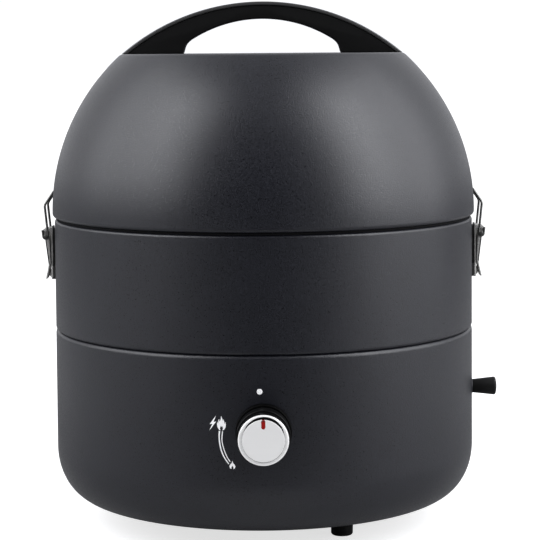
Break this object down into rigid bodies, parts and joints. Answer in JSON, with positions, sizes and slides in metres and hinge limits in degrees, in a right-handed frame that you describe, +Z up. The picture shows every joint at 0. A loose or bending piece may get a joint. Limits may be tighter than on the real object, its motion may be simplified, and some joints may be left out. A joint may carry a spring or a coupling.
{
  "type": "portable gas grill",
  "caption": "Round portable gas grill: deep painted bowl, domed lid with arched carrying handle, over-centre side latches, front control knob, capped gas inlet and rubber feet.",
  "frame": {"origin": "on the body's axis, in the plane that the feet stand on", "axes": "+Z up, -Y towards the front with the knob, +X towards the gas inlet"},
  "size_m": [0.3827, 0.3887, 0.434],
  "materials": {
    "paint": "satin powder coat, finely speckled",
    "rubber": "matte",
    "black_plastic": "satin",
    "strap_steel": "dark polished",
    "steel": "zinc plated",
    "stainless": "brushed",
    "cast_iron": "enamelled",
    "brass": "turned",
    "copper": "drawn",
    "ceramic": "glazed",
    "knob_silver": "satin metallised",
    "pointer_red": "gloss",
    "latch_steel": "nickel plated"
  },
  "bodies": {
    "base": {"lower_bowl": "paint", "base_band": "paint", "band_screws": "steel", "foot_front_right": "rubber", "foot_left": "rubber", "foot_back": "rubber", "foot_screws": "steel", "fire_bowl": "stainless", "fire_bowl_screws": "steel", "grate_brackets": "steel", "rim_seal": "rubber", "heat_plate": "stainless", "burner_head": "stainless", "burner_cap": "brass", "burner_bracket": "steel", "burner_screws": "steel", "mixing_tube": "stainless", "air_shutter": "steel", "gas_valve": "brass", "valve_bracket": "steel", "gas_jet": "brass", "gas_pipe": "copper", "pipe_nuts": "brass", "inlet_fitting": "brass", "inlet_bracket": "steel", "inlet_nut": "steel", "inlet_grommet": "steel", "igniter_electrode": "ceramic", "igniter_lead": "black_plastic", "knob_bezel": "black_plastic", "latch_left_plate": "latch_steel", "latch_left_rivet": "latch_steel", "latch_left_pivot_pin": "latch_steel", "latch_right_plate": "latch_steel", "latch_right_rivet": "latch_steel", "latch_right_pivot_pin": "latch_steel"},
    "lid": {"lid_shell": "paint", "lid_catch_left": "steel", "lid_catch_right": "steel", "handle_grip": "black_plastic", "handle_strap": "strap_steel", "handle_screws": "steel", "handle_washers": "steel"},
    "grate": {"cooking_grate": "cast_iron"},
    "knob_push": {"knob_collar": "black_plastic"},
    "knob": {"knob_body": "black_plastic", "knob_cap": "knob_silver", "knob_face": "knob_silver", "knob_pointer": "pointer_red", "valve_stem": "steel"},
    "cap": {"inlet_cap": "black_plastic"},
    "latch_lever_left": {"latch_left_lever": "latch_steel", "latch_left_bail_pin": "latch_steel"},
    "latch_bail_left": {"latch_left_bail": "latch_steel"},
    "latch_lever_right": {"latch_right_lever": "latch_steel", "latch_right_bail_pin": "latch_steel"},
    "latch_bail_right": {"latch_right_bail": "latch_steel"}
  },
  "joints": [
    {"name": "lid_lift", "type": "slide", "parent": "base", "child": "lid", "axis": [0, 0, 1], "range_m": [0, 0.06]},
    {"name": "grate_lift", "type": "slide", "parent": "base", "child": "grate", "axis": [0, 0, 1], "range_m": [0, 0.04]},
    {"name": "knob_press", "type": "slide", "parent": "base", "child": "knob_push", "axis": [0, 1, 0], "range_m": [0, 0.003], "stiffness_N_per_m": 1500},
    {"name": "knob_turn", "type": "hinge", "parent": "knob_push", "child": "knob", "pos_m": [0, -0.175, 0.1053], "axis": [0, -1, 0], "range_deg": [0, 132]},
    {"name": "cap_pull", "type": "slide", "parent": "base", "child": "cap", "axis": [1, 0, 0], "range_m": [0, 0.025]},
    {"name": "latch_lever_left_turn", "type": "hinge", "parent": "base", "child": "latch_lever_left", "pos_m": [-0.1834, 0, 0.243], "axis": [0, 1, 0], "range_deg": [0, 110]},
    {"name": "latch_bail_left_swing", "type": "hinge", "parent": "latch_lever_left", "child": "latch_bail_left", "pos_m": [-0.1826, 0, 0.239], "axis": [0, -1, 0], "range_deg": [0, 260]},
    {"name": "latch_lever_right_turn", "type": "hinge", "parent": "base", "child": "latch_lever_right", "pos_m": [0.1834, 0, 0.243], "axis": [0, -1, 0], "range_deg": [0, 110]},
    {"name": "latch_bail_right_swing", "type": "hinge", "parent": "latch_lever_right", "child": "latch_bail_right", "pos_m": [0.1826, 0, 0.239], "axis": [0, 1, 0], "range_deg": [0, 260]}
  ],
  "couplings": [
    {"joint": "latch_lever_left_turn", "follows": "lid_lift", "rad_per_m": 31.99},
    {"joint": "latch_bail_left_swing", "follows": "lid_lift", "rad_per_m": 75.62},
    {"joint": "latch_lever_right_turn", "follows": "lid_lift", "rad_per_m": 31.99},
    {"joint": "latch_bail_right_swing", "follows": "lid_lift", "rad_per_m": 75.62}
  ]
}
